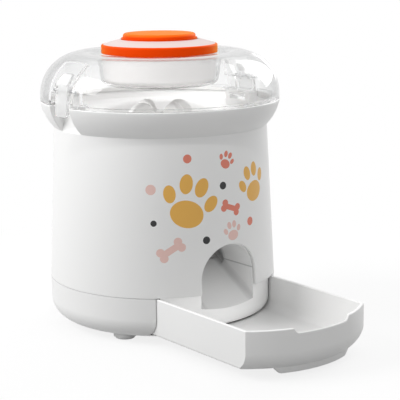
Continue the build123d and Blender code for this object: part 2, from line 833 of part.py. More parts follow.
# Portion wheel: hub and vanes, with a pocket between each two
wheel_bottom = floor_top + wheel_lift
wheel_top = neck_bottom - wheel_lift
with BuildPart() as portion_wheel:
    with BuildSketch(level(wheel_bottom)):
        with PolarLocations(0, wheel_vanes):
            Rectangle(base_radius, vane_thickness, align=(Align.MIN, Align.CENTER))
        Circle(mouth_radius - wheel_gap, mode=Mode.INTERSECT)
        Circle(wheel_hub_radius)
        Circle(shaft_radius, mode=Mode.SUBTRACT)
    extrude(amount=wheel_top - wheel_bottom)
portion_wheel.part.label = "portion_wheel"
export_step(portion_wheel.part, "parts/portion_wheel.step")

# Drive shaft from the gearbox up through the wheel to the agitator
with BuildPart() as drive_shaft:
    ring(shaft_bottom, shaft_top, shaft_radius)
drive_shaft.part.label = "drive_shaft"
export_step(drive_shaft.part, "parts/drive_shaft.step")

# Agitator: hub with four rounded upright lobes that keep the kibble loose
with BuildPart() as lobe:
    with BuildSketch(Plane.XZ.offset(-lobe_thickness / 2)):
        with Locations((lobe_centre, lobe_height)):
            Circle(lobe_radius)
    extrude(amount=lobe_thickness)
    fillet(lobe.edges(), radius=lobe_fillet)

with BuildPart(ground) as agitator:
    ring(neck_bottom + cover_thickness + wheel_lift, agitator_hub_top, agitator_hub_radius)
    fillet(agitator.edges().group_by(Axis.Z)[-1], radius=lobe_fillet)
    with PolarLocations(0, lobe_count):
        add(lobe.part)
    ring(0, shaft_top, shaft_radius, mode=Mode.SUBTRACT)
agitator.part.label = "agitator"
export_step(agitator.part, "parts/agitator.step")

# Gearbox under the housing's floor, with the motor below it
gearbox_bottom = housing_floor - gearbox_height
with BuildPart() as gearbox:
    posts(gearbox_bottom, housing_floor, gearbox_radius, [gearbox_centre])
    fillet(gearbox.edges().group_by(Axis.Z)[0], radius=wall)
    ring(shaft_bottom, housing_floor, shaft_radius + shaft_gap, mode=Mode.SUBTRACT)
    posts(
        gearbox_bottom + wall, housing_floor, screw_radius + thread_gap, gearbox_screw_places,
        mode=Mode.SUBTRACT,
    )
gearbox.part.label = "gearbox"
export_step(gearbox.part, "parts/gearbox.step")

with BuildPart() as gearbox_screws:
    posts(screw_recess, floor_top, screw_head_radius, gearbox_screw_places)
    posts(gearbox_bottom + 2 * wall, screw_recess, screw_radius, gearbox_screw_places)
gearbox_screws.part.label = "gearbox_screws"
export_step(gearbox_screws.part, "parts/gearbox_screws.step")

motor_bottom = gearbox_bottom - motor_height
with BuildPart() as motor:
    posts(motor_bottom, gearbox_bottom, motor_radius, [gearbox_centre])
    fillet(motor.edges().group_by(Axis.Z)[0], radius=half_wall)
    posts(motor_bottom - motor_cap_height, motor_bottom, motor_cap_radius, [gearbox_centre])
motor.part.label = "motor"
export_step(motor.part, "parts/motor.step")

# Battery box: open to the rear, with a flange that follows the shell's inside
inner_gap = wall + fit_gap
box_outer = box_half + box_wall
cell_y = sqrt((body_radius(box_top) - wall - cover_lap) ** 2 - rim_half**2) - cell_radius
box_room_front = cell_y - cell_radius - box_front_gap
box_front = box_room_front - box_wall
with BuildPart() as box_body:
    block((-box_outer, box_outer), (box_front, base_radius), (box_bottom, box_top))
    with BuildSketch(section):
        polygon(
            (0, seam_height), (base_radius - inner_gap, seam_height),
            (crease_radius - inner_gap, crease_height), (0, crease_height),
        )
    revolve(axis=body_axis, mode=Mode.INTERSECT)
    block(
        (-box_half, box_half), (box_room_front, base_radius), (battery_floor, box_top - box_wall),
        mode=Mode.SUBTRACT,
    )

with BuildPart() as box_rim:
    with BuildSketch(section):
        polygon(
            (base_radius - inner_gap - box_wall, seam_height), (base_radius - inner_gap, seam_height),
            (crease_radius - inner_gap, crease_height), (crease_radius - inner_gap - box_wall, crease_height),
        )
    revolve(axis=body_axis)
    block(
        (-box_outer - box_flange, box_outer + box_flange), (0, base_radius),
        (box_bottom - box_flange, box_top + box_flange), mode=Mode.INTERSECT,
    )
    block((-box_half, box_half), (0, base_radius), (battery_floor, box_top - box_wall), mode=Mode.SUBTRACT)

with BuildPart() as battery_box:
    add(box_body.part)
    add(box_rim.part)
battery_box.part.label = "battery_box"
export_step(battery_box.part, "parts/battery_box.step")

# Cells, every second one upside down
cell_low = battery_floor + contact_thickness
cell_high = box_top - box_wall - contact_thickness
for number, x in enumerate(cell_places, start=1):
    with BuildPart() as battery_cell:
        if number % 2:
            sleeve = (cell_high - nub_height - cell_height, cell_high - nub_height)
            posts(*sleeve, cell_radius, [(x, cell_y)])
            posts(cell_high - nub_height, cell_high, nub_radius, [(x, cell_y)])
        else:
            sleeve = (cell_low + nub_height, cell_low + nub_height + cell_height)
            posts(*sleeve, cell_radius, [(x, cell_y)])
            posts(cell_low, cell_low + nub_height, nub_radius, [(x, cell_y)])
    battery_cell.part.label = f"battery_cell_{number}"
    export_step(battery_cell.part, f"parts/battery_cell_{number}.step")

# Contacts: plates that join the cells in a row, with a bowed leaf under each flat end
plate_half = cell_pitch / 2 - contact_thickness
with BuildPart() as battery_contacts:
    for number, x in enumerate(cell_places):
        plate_low = number % 2 == 0
        foot = cell_low if plate_low else cell_high
        tip = cell_low + leaf_height if plate_low else cell_high - leaf_height
        inside = contact_thickness if plate_low else -contact_thickness
        with BuildSketch(front_plane(cell_y - leaf_width / 2)):
            with BuildLine():
                over = ThreePointArc((x - leaf_half, foot), (x, tip), (x + leaf_half, foot))
                under = ThreePointArc(
                    (x + leaf_half - contact_thickness, foot), (x, tip - inside),
                    (x - leaf_half + contact_thickness, foot),
                )
                Line(over @ 1, under @ 0)
                Line(under @ 1, over @ 0)
            make_face()
        extrude(amount=-leaf_width)
    for first, last in ((0, 1), (2, 3)):
        span = (cell_places[first] - plate_half, cell_places[last] + plate_half)
        block(span, (cell_y - leaf_width, cell_y + leaf_width), (battery_floor, cell_low))
    for first, last in ((0, 0), (1, 2), (3, 3)):
        span = (cell_places[first] - plate_half, cell_places[last] + plate_half)
        block(span, (cell_y - leaf_width, cell_y + leaf_width), (cell_high, box_top - box_wall))
battery_contacts.part.label = "battery_contacts"
export_step(battery_contacts.part, "parts/battery_contacts.step")

# Battery door: a flush piece of the tapered wall with a rim that enters the box
grip_z = cover_top - 2 * cover_grip_radius
with BuildPart() as door_skin:
    with BuildSketch(section):
        polygon(
            (base_radius - wall, seam_height), (base_radius, seam_height),
            (crease_radius, crease_height), (crease_radius - wall, crease_height),
        )
    revolve(axis=body_axis)
    with BuildSketch(front_plane(0)):
        with Locations((0, (cover_bottom + cover_top) / 2)):
            RectangleRounded(2 * cover_half, cover_top - cover_bottom, cover_corner)
    extrude(amount=-2 * base_radius, mode=Mode.INTERSECT)
    with BuildSketch(front_plane(body_radius(grip_z) - cover_grip_depth)):
        with Locations((0, grip_z)):
            Circle(cover_grip_radius)
    extrude(amount=-wall, mode=Mode.SUBTRACT)

with BuildPart() as battery_cover:
    with BuildSketch(section):
        polygon(
            (base_radius - wall - cover_lap, seam_height), (base_radius - wall, seam_height),
            (crease_radius - wall, crease_height), (crease_radius - wall - cover_lap, crease_height),
        )
    revolve(axis=body_axis)
    block(
        (-rim_half, rim_half), (0, base_radius),
        (battery_floor + cover_gap, box_top - box_wall - cover_gap), mode=Mode.INTERSECT,
    )
    block(
        (-rim_half + box_wall, rim_half - box_wall), (0, base_radius),
        (battery_floor + cover_gap + box_wall, box_top - 2 * box_wall - cover_gap), mode=Mode.SUBTRACT,
    )
    add(door_skin.part)
battery_cover.part.label = "battery_cover"
export_step(battery_cover.part, "parts/battery_cover.step")

# Receiver board on its posts, with a chip and the power switch
post_places = [(-board_post_x, board_z), (board_post_x, board_z)]
with BuildPart() as receiver_board:
    with BuildSketch(front_plane(board_y)):
        with Locations((0, board_z)):
            Rectangle(*board_size)
        with Locations(*post_places):
            Circle(board_screw_radius + thread_gap, mode=Mode.SUBTRACT)
    extrude(amount=-board_thickness)
receiver_board.part.label = "receiver_board"
export_step(receiver_board.part, "parts/receiver_board.step")

with BuildPart() as receiver_chip:
    with BuildSketch(front_plane(board_y)):
        with Locations((0, board_z)):
            Rectangle(chip_size[0], chip_size[1])
    extrude(amount=chip_size[2])
receiver_chip.part.label = "receiver_chip"
export_step(receiver_chip.part, "parts/receiver_chip.step")

with BuildPart() as power_switch:
    with BuildSketch(front_plane(post_reach)):
        with Locations((0, button_z)):
            Rectangle(tact_size, tact_size)
    extrude(amount=-tact_height)
power_switch.part.label = "power_switch"
export_step(power_switch.part, "parts/power_switch.step")

with BuildPart() as board_screws:
    with BuildSketch(front_plane(board_y)):
        with Locations(*post_places):
            Circle(board_head_radius)
    extrude(amount=board_head_height)
    with BuildSketch(front_plane(board_y)):
        with Locations(*post_places):
            Circle(board_screw_radius)
    extrude(amount=-board_screw_depth)
board_screws.part.label = "board_screws"
export_step(board_screws.part, "parts/board_screws.step")

# Power button in the rear wall, with a stem that reaches the switch
button_face = body_radius(button_z) + button_stand
flange_wall_radius = body_radius(button_z + button_flange_radius) - wall
button_seat = sqrt(flange_wall_radius**2 - button_flange_radius**2) - fit_gap
stem_tip = post_reach + tact_height + button_travel + thread_gap
with BuildPart() as power_button:
    with BuildSketch(front_plane(button_face)):
        with Locations((0, button_z)):
            Circle(button_radius)
    extrude(amount=button_face - button_seat)
    fillet(power_button.edges().group_by(Axis.Y)[-1], radius=button_stand)
    with BuildSketch(front_plane(button_seat)):
        with Locations((0, button_z)):
            Circle(button_flange_radius)
    extrude(amount=button_flange_height)
    with BuildSketch(front_plane(button_seat)):
        with Locations((0, button_z)):
            Circle(button_stem_radius)
    extrude(amount=button_seat - stem_tip)
power_button.part.label = "power_button"
export_step(power_button.part, "parts/power_button.step")

# Clear lid: dome, well for the press button, latch recesses and a skirt inside the collar
lid_radius = rim_radius - lid_setback
ridge_radius = lid_radius - dome_radius
dome_base = rim_height + dome_straight
ridge_height = dome_base + dome_radius
mouth_width = ridge_radius - well_top_radius
mouth_low = ridge_height - mouth_rise
well_turn = well_bottom_radius - well_corner
well_turn_height = well_floor + well_corner
under_corner = well_corner + well_wall
under_top_radius = well_top_radius + mouth_wall

with BuildPart() as lid_envelope:
    with BuildSketch(section):
        with BuildLine():
            CenterArc((ridge_radius, dome_base), dome_radius, 0, 90)
            EllipticalCenterArc(
                (ridge_radius, mouth_low), mouth_width, mouth_rise, start_angle=90, arc_size=90,
            )
            Line((well_top_radius, mouth_low), (well_bottom_radius, well_turn_height))
            CenterArc((well_turn, well_turn_height), well_corner, -90, 90)
            Polyline(
                (well_turn, well_floor), (0, well_floor), (0, 0), (lid_radius, 0), (lid_radius, dome_base),
            )
        make_face()
    revolve(axis=body_axis)

with BuildPart() as lid_hollow:
    with BuildSketch(section):
        with BuildLine():
            CenterArc((ridge_radius, dome_base), dome_radius - lid_wall, 0, 90)
            EllipticalCenterArc(
                (ridge_radius, mouth_low), ridge_radius - under_top_radius, mouth_rise - lid_wall,
                start_angle=90, arc_size=90,
            )
            Line((under_top_radius, mouth_low), (well_bottom_radius + well_wall, well_turn_height))
            CenterArc((well_turn, well_turn_height), under_corner, -90, 90)
            Polyline(
                (well_turn, well_floor - well_wall), (0, well_floor - well_wall), (0, 0),
                (lid_radius - lid_wall, 0), (lid_radius - lid_wall, dome_base),
            )
        make_face()
    revolve(axis=body_axis)

pocket_back = rim_radius - pocket_depth
pocket_ledge_back = rim_radius - ledge_depth
pocket_front = pocket_back - pocket_wall
shelf_inner = rim_radius - shelf_depth
pivot = (rim_radius - pivot_depth, pivot_z)
skirt_radius = flare_at(rim_height - skirt_depth, wall) - skirt_gap
pocket_lift = ridge_height - pocket_ledge
pocket_top_back = pocket_ledge_back - pocket_lean * pocket_lift
with BuildPart() as latch_pockets:
    for plane in side_sections:
        with BuildSketch(plane):
            polygon(
                (pocket_front, rim_height), (pocket_front, pocket_ledge - pocket_wall),
                (pocket_ledge_back - pocket_wall, pocket_ledge - pocket_wall),
                (pocket_top_back - pocket_wall, ridge_height), (rim_radius, ridge_height),
                (rim_radius, rim_height),
            )
        extrude(amount=pocket_half + pocket_wall, both=True)
        with BuildSketch(plane):
            polygon(
                (shelf_inner, rim_height), (pocket_back, rim_height),
                (pocket_back, rim_height + pocket_wall), (shelf_inner, rim_height + pocket_wall),
            )
        extrude(amount=pocket_half + pocket_wall, both=True)
    add(lid_envelope.part, mode=Mode.INTERSECT)

with BuildPart() as lid_dome:
    add(lid_envelope.part)
    add(lid_hollow.part, mode=Mode.SUBTRACT)
    block((-rim_radius, rim_radius), (-rim_radius, rim_radius), (0, rim_height), mode=Mode.SUBTRACT)
    ring(rim_height, rim_height + skirt_wall, lid_radius - half_wall, skirt_radius - skirt_wall)
    ring(rim_height - skirt_depth, rim_height, skirt_radius, skirt_radius - skirt_wall)
    for side in (-1, 1):
        near = sorted((side * shelf_inner, side * rim_radius))
        block(near, (-skirt_cut, skirt_cut), (0, rim_height), mode=Mode.SUBTRACT)
    add(latch_pockets.part)
    for plane in side_sections:
        with BuildSketch(plane):
            polygon(
                (pocket_back, 0), (pocket_back, pocket_ledge), (pocket_ledge_back, pocket_ledge),
                (pocket_top_back, ridge_height), (rim_radius + wall, ridge_height), (rim_radius + wall, 0),
            )
        extrude(amount=pocket_half, both=True, mode=Mode.SUBTRACT)
        with BuildSketch(plane):
            with Locations(pivot):
                Circle(pin_radius + pin_gap)
        extrude(amount=pin_half + pin_gap, both=True, mode=Mode.SUBTRACT)
    fillet(lid_dome.edges().filter_by(on_latch_recess), radius=edge_fillet)
lid_dome.part.label = "lid_dome"
export_step(lid_dome.part, "parts/lid_dome.step")

# Seal round the lid's skirt
seal_top = rim_height - seal_drop
seal_bottom = seal_top - seal_height
with BuildPart() as lid_seal:
    ring(seal_bottom, seal_top, flare_at(seal_bottom, wall) - seal_clearance, skirt_radius)
    block((-rim_radius, rim_radius), (-skirt_cut, skirt_cut), (0, rim_height), mode=Mode.SUBTRACT)
lid_seal.part.label = "lid_seal"
export_step(lid_seal.part, "parts/lid_seal.step")

# Latches and their pins, one on each side
lever_bottom = (rim_radius - lever_bottom_depth, lever_bottom_z)
lever_knee = (rim_radius - lever_knee_depth, lever_knee_z)
lever_top = (rim_radius - lever_top_depth, lever_top_z)
lever_slope = (lever_knee[0] - lever_bottom[0]) / (lever_knee_z - lever_bottom_z)
lever_core = lever_thickness / 2
ear_root = lever_bottom[0] + lever_slope * (pivot_z - lever_bottom_z) - lever_core
tongue_root = lever_bottom[0] - lever_core
tongue_tip = rim_radius - tongue_tip_depth
tongue_top = tongue_bottom + tongue_thickness
for name, plane in zip(("left", "right"), side_sections):
    with BuildPart() as latch:
        with BuildSketch(plane):
            polygon(
                lever_bottom, lever_knee, lever_top, (lever_top[0] - lever_thickness, lever_top_z),
                (lever_knee[0] - lever_thickness, lever_knee_z - lever_core),
                (lever_bottom[0] - lever_thickness, lever_bottom_z),
            )
        extrude(amount=lever_half_knee, both=True)
        with BuildSketch(Plane(origin=(0, axis_y, 0), x_dir=-plane.z_dir, z_dir=plane.x_dir)):
            polygon(
                (-lever_half_bottom, lever_bottom_z), (lever_half_bottom, lever_bottom_z),
                (lever_half_knee, lever_knee_z), (lever_half_top, lever_top_z),
                (-lever_half_top, lever_top_z), (-lever_half_knee, lever_knee_z),
            )
            fillet(vertices().group_by(Axis.Y)[0], radius=lever_corner)
            fillet(vertices().group_by(Axis.Y)[-1], radius=lever_corner)
        extrude(amount=rim_radius, mode=Mode.INTERSECT)
        for start in (-ear_outer, ear_inner):
            with BuildSketch(plane.offset(start)):
                with Locations(pivot):
                    Circle(ear_radius)
                polygon(
                    (pivot[0], pivot_z - ear_radius), (ear_root, pivot_z - ear_radius),
                    (ear_root, pivot_z + ear_radius), (pivot[0], pivot_z + ear_radius),
                )
            extrude(amount=ear_outer - ear_inner)
        with BuildSketch(plane):
            polygon(
                (tongue_tip, tongue_bottom), (tongue_root, tongue_bottom),
                (tongue_root, tongue_top), (tongue_tip, tongue_top),
            )
        extrude(amount=tongue_half, both=True)
        with BuildSketch(plane):
            with Locations(pivot):
                Circle(pin_radius + pin_gap)
        extrude(amount=lever_half_knee, both=True, mode=Mode.SUBTRACT)
        chamfer(latch.faces().sort_by(SortBy.AREA)[-1].edges(), length=fit_gap)
    latch.part.label = f"latch_{name}"
    export_step(latch.part, f"parts/latch_{name}.step")

    with BuildPart() as latch_pin:
        with BuildSketch(plane):
            with Locations(pivot):
                Circle(pin_radius)
        extrude(amount=pin_half, both=True)
    latch_pin.part.label = f"latch_pin_{name}"
    export_step(latch_pin.part, f"parts/latch_pin_{name}.step")

# Press button: dish, side wall, coloured ring and white cone with a recess for the pad
puck_bottom = well_floor
puck_seam = puck_bottom + puck_base_height
with BuildPart() as button_base:
    ring(puck_bottom, puck_seam, puck_bottom_radius)
    fillet(button_base.edges().group_by(Axis.Z)[0], radius=puck_base_corner)
    ring(puck_bottom + button_wall, puck_seam, puck_bottom_radius - 2 * button_wall, mode=Mode.SUBTRACT)
button_base.part.label = "button_base"
export_step(button_base.part, "parts/button_base.step")

shelf_radius = puck_bottom_radius - button_wall / 2
with BuildPart() as button_housing:
    with BuildSketch(section):
        polygon(
            (puck_bottom_radius - button_wall, puck_seam), (puck_bottom_radius, puck_seam),
            (puck_top_radius, puck_top), (puck_top_radius - button_wall, puck_top),
        )
    revolve(axis=body_axis)
    shelf_bottom = puck_board_height - puck_shelf_height
    ring(shelf_bottom, puck_board_height, shelf_radius, shelf_radius - puck_shelf_width)
button_housing.part.label = "button_housing"
export_step(button_housing.part, "parts/button_housing.step")

with BuildPart() as button_ring:
    ring(puck_top, ring_top, ring_radius, ring_inner)
    fillet(button_ring.edges().group_by(Axis.Z)[-1].sort_by(SortBy.RADIUS)[-1], radius=ring_fillet)
    fillet(button_ring.edges().group_by(Axis.Z)[0].sort_by(SortBy.RADIUS)[-1], radius=seam_chamfer)
button_ring.part.label = "button_ring"
export_step(button_ring.part, "parts/button_ring.step")

recess_floor = bezel_top - recess_depth
plate_bottom = recess_floor - button_wall
skirt_outer = ring_inner - thread_gap
bezel_outer = ring_radius - ring_fillet
with BuildPart() as button_bezel:
    with BuildSketch(section):
        polygon(
            (bezel_outer, ring_top), (bezel_inner, bezel_top), (bezel_inner, recess_floor),
            (press_stem_radius + fit_gap, recess_floor), (press_stem_radius + fit_gap, plate_bottom),
            (skirt_outer, plate_bottom), (skirt_outer, ring_top),
        )
        fillet(vertices().group_by(Axis.Y)[-1], radius=edge_fillet)
        polygon(
            (skirt_outer - bezel_skirt_wall, bezel_skirt_bottom), (skirt_outer, bezel_skirt_bottom),
            (skirt_outer, ring_top), (skirt_outer - bezel_skirt_wall, ring_top),
        )
    revolve(axis=body_axis)
    cup_bottom = spring_cup_floor - button_wall
    ring(cup_bottom, recess_floor, spring_cup_radius + button_wall, press_stem_radius + fit_gap)
    ring(spring_cup_floor, recess_floor, spring_cup_radius, mode=Mode.SUBTRACT)
button_bezel.part.label = "button_bezel"
export_step(button_bezel.part, "parts/button_bezel.step")

press_stem_bottom = puck_board_height + board_thickness + switch_height + press_travel + fit_gap
with BuildPart() as press_pad:
    ring(pad_flange_bottom, press_top, press_radius)
    fillet(press_pad.edges().group_by(Axis.Z)[-1], radius=press_fillet)
    ring(pad_flange_bottom, pad_flange_top, pad_flange_radius)
    ring(press_stem_bottom, pad_flange_bottom, press_stem_radius)
press_pad.part.label = "press_pad"
export_step(press_pad.part, "parts/press_pad.step")

# Return spring between the cup and the pad
spring_height = pad_flange_bottom - spring_cup_floor - 2 * spring_wire
spring_start = spring_cup_floor + spring_wire
with BuildPart() as return_spring:
    with BuildLine():
        Helix(spring_pitch, spring_height, spring_radius, center=(0, axis_y, spring_start))
    with BuildSketch(Plane(origin=(spring_radius, axis_y, spring_start), z_dir=(0, 1, 0))):
        RegularPolygon(spring_wire, wire_sides)
    sweep(is_frenet=True)
return_spring.part.label = "return_spring"
export_step(return_spring.part, "parts/return_spring.step")

# Inside of the press button
with BuildPart() as button_board:
    ring(puck_board_height, puck_board_height + board_thickness, puck_board_radius)
button_board.part.label = "button_board"
export_step(button_board.part, "parts/button_board.step")

with BuildPart() as coin_cell:
    posts(puck_board_height - coin_height, puck_board_height, coin_radius, [coin_place])
coin_cell.part.label = "coin_cell"
export_step(coin_cell.part, "parts/coin_cell.step")

switch_span = (-switch_size / 2, switch_size / 2)
switch_bottom = puck_board_height + board_thickness
with BuildPart() as push_switch:
    block(switch_span, switch_span, (switch_bottom, switch_bottom + switch_height))
push_switch.part.label = "push_switch"
export_step(push_switch.part, "parts/push_switch.step")
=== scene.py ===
import json
import math

import bpy
from mathutils import Matrix, Vector

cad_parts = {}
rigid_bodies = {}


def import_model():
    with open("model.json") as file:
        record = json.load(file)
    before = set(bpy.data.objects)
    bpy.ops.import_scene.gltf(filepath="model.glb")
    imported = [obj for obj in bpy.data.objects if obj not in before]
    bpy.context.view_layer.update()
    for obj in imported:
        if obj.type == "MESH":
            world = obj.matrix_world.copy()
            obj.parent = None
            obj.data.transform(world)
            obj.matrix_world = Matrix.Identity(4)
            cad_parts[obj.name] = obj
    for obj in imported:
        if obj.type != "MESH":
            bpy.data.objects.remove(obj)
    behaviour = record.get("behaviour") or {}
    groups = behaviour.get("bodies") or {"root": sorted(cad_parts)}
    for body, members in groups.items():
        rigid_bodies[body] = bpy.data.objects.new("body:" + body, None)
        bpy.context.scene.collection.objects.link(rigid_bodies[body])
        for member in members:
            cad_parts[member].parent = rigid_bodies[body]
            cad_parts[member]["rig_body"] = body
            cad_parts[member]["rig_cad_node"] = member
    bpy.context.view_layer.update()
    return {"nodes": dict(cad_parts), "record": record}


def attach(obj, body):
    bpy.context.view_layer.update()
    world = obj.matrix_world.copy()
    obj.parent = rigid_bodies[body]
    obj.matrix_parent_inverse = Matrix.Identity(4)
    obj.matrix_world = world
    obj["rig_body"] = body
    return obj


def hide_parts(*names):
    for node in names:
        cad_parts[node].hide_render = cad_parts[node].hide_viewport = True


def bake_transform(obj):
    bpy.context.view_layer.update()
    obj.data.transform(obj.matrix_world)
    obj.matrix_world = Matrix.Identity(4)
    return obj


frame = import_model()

# Pet food dispenser. Metres, +Z up, the bowl and the doorway towards -Y.

axisY = 0.05083        # the body's axis stands this far behind the middle of the whole object
nodes = frame["nodes"]
print("frame loaded:", len(nodes), "nodes")


class Wire:
    # wraps an output socket, so that sums written in Python add Math nodes
    def __init__(self, socket):
        self.socket = socket

    def maths(self, operation, other=None, swapped=False):
        tree = self.socket.id_data
        node = tree.nodes.new("ShaderNodeMath")
        node.operation = operation
        values = (other, self) if swapped else (self, other)
        for target, value in zip(node.inputs, values):
            if isinstance(value, Wire):
                tree.links.new(value.socket, target)
            elif value is not None:
                target.default_value = value
        return Wire(node.outputs[0])

    def __add__(self, other):
        return self.maths("ADD", other)

    def __sub__(self, other):
        return self.maths("SUBTRACT", other)

    def __rsub__(self, other):
        return self.maths("SUBTRACT", other, swapped=True)

    def __mul__(self, other):
        return self.maths("MULTIPLY", other)

    def __truediv__(self, other):
        return self.maths("DIVIDE", other)

    def __abs__(self):
        return self.maths("ABSOLUTE")

    def angleTo(self, other):
        return self.maths("ARCTAN2", other)

    def under(self, other):
        return self.maths("LESS_THAN", other)

    def over(self, other):
        return self.maths("GREATER_THAN", other)

    def power(self, other):
        return self.maths("POWER", other)

    def least(self, other):
        return self.maths("MINIMUM", other)

    def most(self, other):
        return self.maths("MAXIMUM", other)

    def rise(self, start, length):
        # climbs from 0 to 1 over a length that begins at the start
        return ((self - start) / length).most(0.0).least(1.0)


class Finish:
    # one Principled material with its helper nodes
    def __init__(self, name, **sockets):
        self.material = bpy.data.materials.new(name)
        self.material.use_nodes = True
        self.tree = self.material.node_tree
        self.shader = self.tree.nodes["Principled BSDF"]
        self.fill(self.shader, {key.replace("_", " "): value for key, value in sockets.items()})

    def fill(self, node, values):
        for key, value in values.items():
            if isinstance(value, Wire):
                self.tree.links.new(value.socket, node.inputs[key])
            else:
                node.inputs[key].default_value = value

    def add(self, kind, settings=None, values=None, out=0):
        node = self.tree.nodes.new("ShaderNode" + kind)
        for key, value in (settings or {}).items():
            setattr(node, key, value)
        self.fill(node, values or {})
        return Wire(node.outputs[out])

    def place(self):
        return self.add("TexCoord", out="Object")

    def split(self, vector):
        # the x, y and z of a vector
        node = self.tree.nodes.new("ShaderNodeSeparateXYZ")
        self.fill(node, {0: vector})
        return [Wire(part) for part in node.outputs]

    def noise(self, scale, detail):
        values = {"Vector": self.place(), "Scale": scale, "Detail": detail, "Roughness": 0.5}
        return self.add("TexNoise", values=values)

    def blendColours(self, amount, first, second):
        node = self.tree.nodes.new("ShaderNodeMix")
        node.data_type = "RGBA"
        for index, value in ((0, amount), (6, first), (7, second)):
            if isinstance(value, Wire):
                self.tree.links.new(value.socket, node.inputs[index])
            else:
                node.inputs[index].default_value = value
        return Wire(node.outputs[2])

    def recolour(self, amount, colour):
        # lays a colour over the finish's own, by an amount from 0 to 1
        before = Wire(self.shader.inputs["Base Color"].links[0].from_socket)
        self.fill(self.shader, {"Base Color": self.blendColours(amount, before, colour)})

    def cover(self, amount, shader):
        # lays another shader over the finish, by an amount from 0 to 1
        blend = self.tree.nodes.new("ShaderNodeMixShader")
        self.fill(blend, {"Fac": amount})
        self.tree.links.new(self.shader.outputs[0], blend.inputs[1])
        self.tree.links.new(shader.socket, blend.inputs[2])
        surface = self.tree.nodes["Material Output"].inputs["Surface"]
        self.tree.links.new(blend.outputs[0], surface)

    def bump(self, height, distance):
        values = {"Height": height, "Distance": distance}
        self.fill(self.shader, {"Normal": self.add("Bump", values=values)})


# What all the moulded plastics share. The sheen shows only on the oranges, which give it a weight.
moulded = {
    "specular": 0.5, "shade": 0.97, "sheenRoughness": 0.4, "sheenTint": (1.0, 0.36, 0.02, 1.0),
    "cloudScale": 14.0, "cloudDetail": 3.0, "grainScale": 1400.0, "grainDetail": 1.0,
    "grainDepth": 0.00001, "glossSpread": 0.06,
}


def mouldedPlastic(name, look):
    # plain moulded plastic: fine skin, slight cloudiness and uneven gloss
    look = {**moulded, **look}
    paint = Finish(
        name, Specular_IOR_Level=look["specular"], Sheen_Weight=look.get("sheen", 0.0),
        Sheen_Roughness=look["sheenRoughness"], Sheen_Tint=look["sheenTint"])
    cloud = paint.noise(look["cloudScale"], look["cloudDetail"])
    grain = paint.noise(look["grainScale"], look["grainDetail"])
    tint, spread = look["colour"], look["glossSpread"]
    shade = [value * look["shade"] for value in tint[:3]] + [1.0]
    paint.fill(paint.shader, {
        "Base Color": paint.blendColours(cloud, shade, tint),
        "Roughness": cloud * spread + (look["roughness"] - spread / 2),
    })
    paint.bump(grain, look["grainDepth"])
    return paint


whiteShell = {"colour": (0.86, 0.86, 0.855, 1.0), "roughness": 0.33, "shade": 0.985}
bowlWhite = {**whiteShell, "specular": 0.2}
whiteInner = {"colour": (0.90, 0.895, 0.885, 1.0), "roughness": 0.45, "shade": 0.98}
warmWhite = {"colour": (0.95, 0.93, 0.92, 1.0), "roughness": 0.36, "shade": 0.985}
bezelWhite = {"colour": (0.55, 0.455, 0.44, 1.0), "roughness": 0.4, "shade": 0.985}
orange = {
    "colour": (0.74, 0.048, 0.0005, 1.0), "roughness": 0.42, "specular": 0.04, "sheen": 1.0,
}
padOrange = {**orange, "sheen": 0.55}
footGrey = {
    "colour": (0.94, 0.94, 0.94, 1.0), "roughness": 0.7, "shade": 0.95, "grainDepth": 0.00004,
}
darkPlastic = {"colour": (0.035, 0.035, 0.037, 1.0), "roughness": 0.5}
boardGreen = {"colour": (0.02, 0.12, 0.045, 1.0), "roughness": 0.35}
cellSleeve = {"colour": (0.09, 0.10, 0.13, 1.0), "roughness": 0.3}

clear = {
    "colour": (0.97, 0.972, 0.972, 1.0), "edge": (0.1, 0.103, 0.105, 1.0),
    "edgeBlend": 0.5, "edgePower": 3.3, "ior": 1.3, "roughness": 0.04, "glossSpread": 0.02,
    "waveScale": 14.0, "waveDetail": 1.0, "waveDepth": 0.000002,
    "depth": 5.0,        # rays that have turned more often than this go straight through
    "passed": (0.98, 0.98, 0.98, 1.0), "milk": 0.0,
}
milky = {**clear, "milk": 0.3}


def clearPlastic(name, look):
    # clear moulded plastic, a little wavy, that lets the lamps shine through to what it covers
    paint = Finish(name, IOR=look["ior"], Transmission_Weight=1.0 - look["milk"])
    wave = paint.noise(look["waveScale"], look["waveDetail"])
    slant = paint.add("LayerWeight", values={"Blend": look["edgeBlend"]}, out="Facing")
    slant = slant.power(look["edgePower"])
    paint.fill(paint.shader, {
        "Base Color": paint.blendColours(slant, look["colour"], look["edge"]),
        "Roughness": wave * look["glossSpread"] + look["roughness"],
    })
    paint.bump(wave, look["waveDepth"])
    rays = paint.tree.nodes.new("ShaderNodeLightPath")
    light = Wire(rays.outputs["Is Shadow Ray"]).most(Wire(rays.outputs["Is Diffuse Ray"]))
    deep = Wire(rays.outputs["Ray Depth"]).over(look["depth"])
    paint.cover(light.most(deep), paint.add("BsdfTransparent", values={"Color": look["passed"]}))
    return paint


# What the metals share: fine streaks, darker and glossier between them.
drawn = {
    "streakScale": 300.0, "streakDetail": 4.0, "streakDepth": 0.00001, "shade": 0.85,
    "glossSpread": 0.15,
}
steel = {**drawn, "colour": (0.62, 0.62, 0.63, 1.0), "roughness": 0.22}
brass = {**drawn, "colour": (0.72, 0.5, 0.2, 1.0), "roughness": 0.3}


def brightMetal(name, look):
    paint = Finish(name, Metallic=1.0)
    streak = paint.noise(look["streakScale"], look["streakDetail"])
    shade = [value * look["shade"] for value in look["colour"][:3]] + [1.0]
    paint.fill(paint.shader, {
        "Base Color": paint.blendColours(streak, shade, look["colour"]),
        "Roughness": streak * look["glossSpread"] + look["roughness"],
    })
    paint.bump(streak, look["streakDepth"])
    return paint


